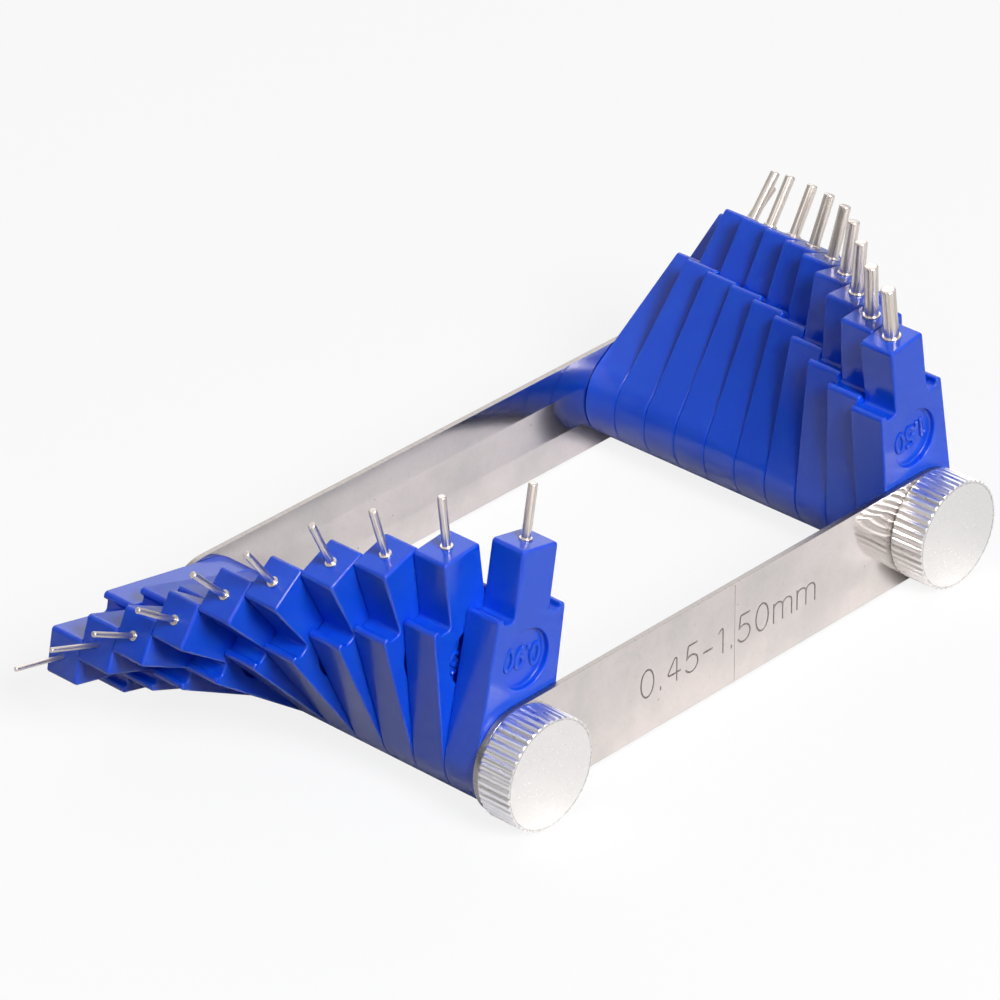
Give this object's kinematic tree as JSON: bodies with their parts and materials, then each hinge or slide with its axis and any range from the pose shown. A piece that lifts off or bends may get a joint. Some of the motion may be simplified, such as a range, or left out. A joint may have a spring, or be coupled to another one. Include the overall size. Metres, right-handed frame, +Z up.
{
  "type": "carburettor jet gauge",
  "caption": "Hand gauge for carburettor jets: moulded blades with round gauge pins fan out on two pivots between flat steel arms, clamped by knurled thumb nuts.",
  "frame": {"origin": "middle of the front arm's lower edge, halfway through its thickness", "axes": "+X along the arms to the pivot with the thicker pins, +Y from the front arm to the back arm, +Z up to the fanned blades"},
  "size_m": [0.1068, 0.0464, 0.0322],
  "materials": {
    "arm_steel": "polished stainless sheet with fine scratches",
    "screw_steel": "turned steel",
    "pin_steel": "ground steel",
    "nut_aluminium": "turned face and straight knurl",
    "blade_plastic": "satin moulded plastic"
  },
  "bodies": {
    "frame": {"front_arm": "arm_steel", "back_arm": "arm_steel", "left_pivot_screw": "screw_steel", "right_pivot_screw": "screw_steel"},
    "left_thumb_nut": {"left_thumb_nut": "nut_aluminium"},
    "right_thumb_nut": {"right_thumb_nut": "nut_aluminium"},
    "left_blade_01": {"left_blade_01": "blade_plastic", "left_pin_01": "pin_steel"},
    "left_blade_02": {"left_blade_02": "blade_plastic", "left_pin_02": "pin_steel"},
    "left_blade_03": {"left_blade_03": "blade_plastic", "left_pin_03": "pin_steel"},
    "left_blade_04": {"left_blade_04": "blade_plastic", "left_pin_04": "pin_steel"},
    "left_blade_05": {"left_blade_05": "blade_plastic", "left_pin_05": "pin_steel"},
    "left_blade_06": {"left_blade_06": "blade_plastic", "left_pin_06": "pin_steel"},
    "left_blade_07": {"left_blade_07": "blade_plastic", "left_pin_07": "pin_steel"},
    "left_blade_08": {"left_blade_08": "blade_plastic", "left_pin_08": "pin_steel"},
    "left_blade_09": {"left_blade_09": "blade_plastic", "left_pin_09": "pin_steel"},
    "left_blade_10": {"left_blade_10": "blade_plastic", "left_pin_10": "pin_steel"},
    "right_blade_01": {"right_blade_01": "blade_plastic", "right_pin_01": "pin_steel"},
    "right_blade_02": {"right_blade_02": "blade_plastic", "right_pin_02": "pin_steel"},
    "right_blade_03": {"right_blade_03": "blade_plastic", "right_pin_03": "pin_steel"},
    "right_blade_04": {"right_blade_04": "blade_plastic", "right_pin_04": "pin_steel"},
    "right_blade_05": {"right_blade_05": "blade_plastic", "right_pin_05": "pin_steel"},
    "right_blade_06": {"right_blade_06": "blade_plastic", "right_pin_06": "pin_steel"},
    "right_blade_07": {"right_blade_07": "blade_plastic", "right_pin_07": "pin_steel"},
    "right_blade_08": {"right_blade_08": "blade_plastic", "right_pin_08": "pin_steel"},
    "right_blade_09": {"right_blade_09": "blade_plastic", "right_pin_09": "pin_steel"},
    "right_blade_10": {"right_blade_10": "blade_plastic", "right_pin_10": "pin_steel"}
  },
  "joints": [
    {"name": "left_thumb_nut_turn", "type": "hinge", "parent": "frame", "child": "left_thumb_nut", "pos_m": [-0.02925, -0.00433, 0.00545], "axis": [0, -1, 0], "range_deg": [0, 360]},
    {"name": "right_thumb_nut_turn", "type": "hinge", "parent": "frame", "child": "right_thumb_nut", "pos_m": [0.02925, -0.00433, 0.00545], "axis": [0, -1, 0], "range_deg": [0, 360]},
    {"name": "left_blade_01_swing", "type": "hinge", "parent": "frame", "child": "left_blade_01", "pos_m": [-0.02925, 0.00232, 0.00545], "axis": [0, 1, 0], "continuous": true},
    {"name": "left_blade_02_swing", "type": "hinge", "parent": "frame", "child": "left_blade_02", "pos_m": [-0.02925, 0.00632, 0.00545], "axis": [0, 1, 0], "continuous": true},
    {"name": "left_blade_03_swing", "type": "hinge", "parent": "frame", "child": "left_blade_03", "pos_m": [-0.02925, 0.01033, 0.00545], "axis": [0, 1, 0], "continuous": true},
    {"name": "left_blade_04_swing", "type": "hinge", "parent": "frame", "child": "left_blade_04", "pos_m": [-0.02925, 0.01432, 0.00545], "axis": [0, 1, 0], "continuous": true},
    {"name": "left_blade_05_swing", "type": "hinge", "parent": "frame", "child": "left_blade_05", "pos_m": [-0.02925, 0.01833, 0.00545], "axis": [0, 1, 0], "continuous": true},
    {"name": "left_blade_06_swing", "type": "hinge", "parent": "frame", "child": "left_blade_06", "pos_m": [-0.02925, 0.02233, 0.00545], "axis": [0, 1, 0], "continuous": true},
    {"name": "left_blade_07_swing", "type": "hinge", "parent": "frame", "child": "left_blade_07", "pos_m": [-0.02925, 0.02633, 0.00545], "axis": [0, 1, 0], "continuous": true},
    {"name": "left_blade_08_swing", "type": "hinge", "parent": "frame", "child": "left_blade_08", "pos_m": [-0.02925, 0.03033, 0.00545], "axis": [0, 1, 0], "continuous": true},
    {"name": "left_blade_09_swing", "type": "hinge", "parent": "frame", "child": "left_blade_09", "pos_m": [-0.02925, 0.03433, 0.00545], "axis": [0, 1, 0], "continuous": true},
    {"name": "left_blade_10_swing", "type": "hinge", "parent": "frame", "child": "left_blade_10", "pos_m": [-0.02925, 0.03832, 0.00545], "axis": [0, 1, 0], "continuous": true},
    {"name": "right_blade_01_swing", "type": "hinge", "parent": "frame", "child": "right_blade_01", "pos_m": [0.02925, 0.00232, 0.00545], "axis": [0, 1, 0], "continuous": true},
    {"name": "right_blade_02_swing", "type": "hinge", "parent": "frame", "child": "right_blade_02", "pos_m": [0.02925, 0.00632, 0.00545], "axis": [0, 1, 0], "continuous": true},
    {"name": "right_blade_03_swing", "type": "hinge", "parent": "frame", "child": "right_blade_03", "pos_m": [0.02925, 0.01033, 0.00545], "axis": [0, 1, 0], "continuous": true},
    {"name": "right_blade_04_swing", "type": "hinge", "parent": "frame", "child": "right_blade_04", "pos_m": [0.02925, 0.01432, 0.00545], "axis": [0, 1, 0], "continuous": true},
    {"name": "right_blade_05_swing", "type": "hinge", "parent": "frame", "child": "right_blade_05", "pos_m": [0.02925, 0.01833, 0.00545], "axis": [0, 1, 0], "continuous": true},
    {"name": "right_blade_06_swing", "type": "hinge", "parent": "frame", "child": "right_blade_06", "pos_m": [0.02925, 0.02233, 0.00545], "axis": [0, 1, 0], "continuous": true},
    {"name": "right_blade_07_swing", "type": "hinge", "parent": "frame", "child": "right_blade_07", "pos_m": [0.02925, 0.02633, 0.00545], "axis": [0, 1, 0], "continuous": true},
    {"name": "right_blade_08_swing", "type": "hinge", "parent": "frame", "child": "right_blade_08", "pos_m": [0.02925, 0.03033, 0.00545], "axis": [0, 1, 0], "continuous": true},
    {"name": "right_blade_09_swing", "type": "hinge", "parent": "frame", "child": "right_blade_09", "pos_m": [0.02925, 0.03433, 0.00545], "axis": [0, 1, 0], "continuous": true},
    {"name": "right_blade_10_swing", "type": "hinge", "parent": "frame", "child": "right_blade_10", "pos_m": [0.02925, 0.03832, 0.00545], "axis": [0, 1, 0], "continuous": true}
  ]
}
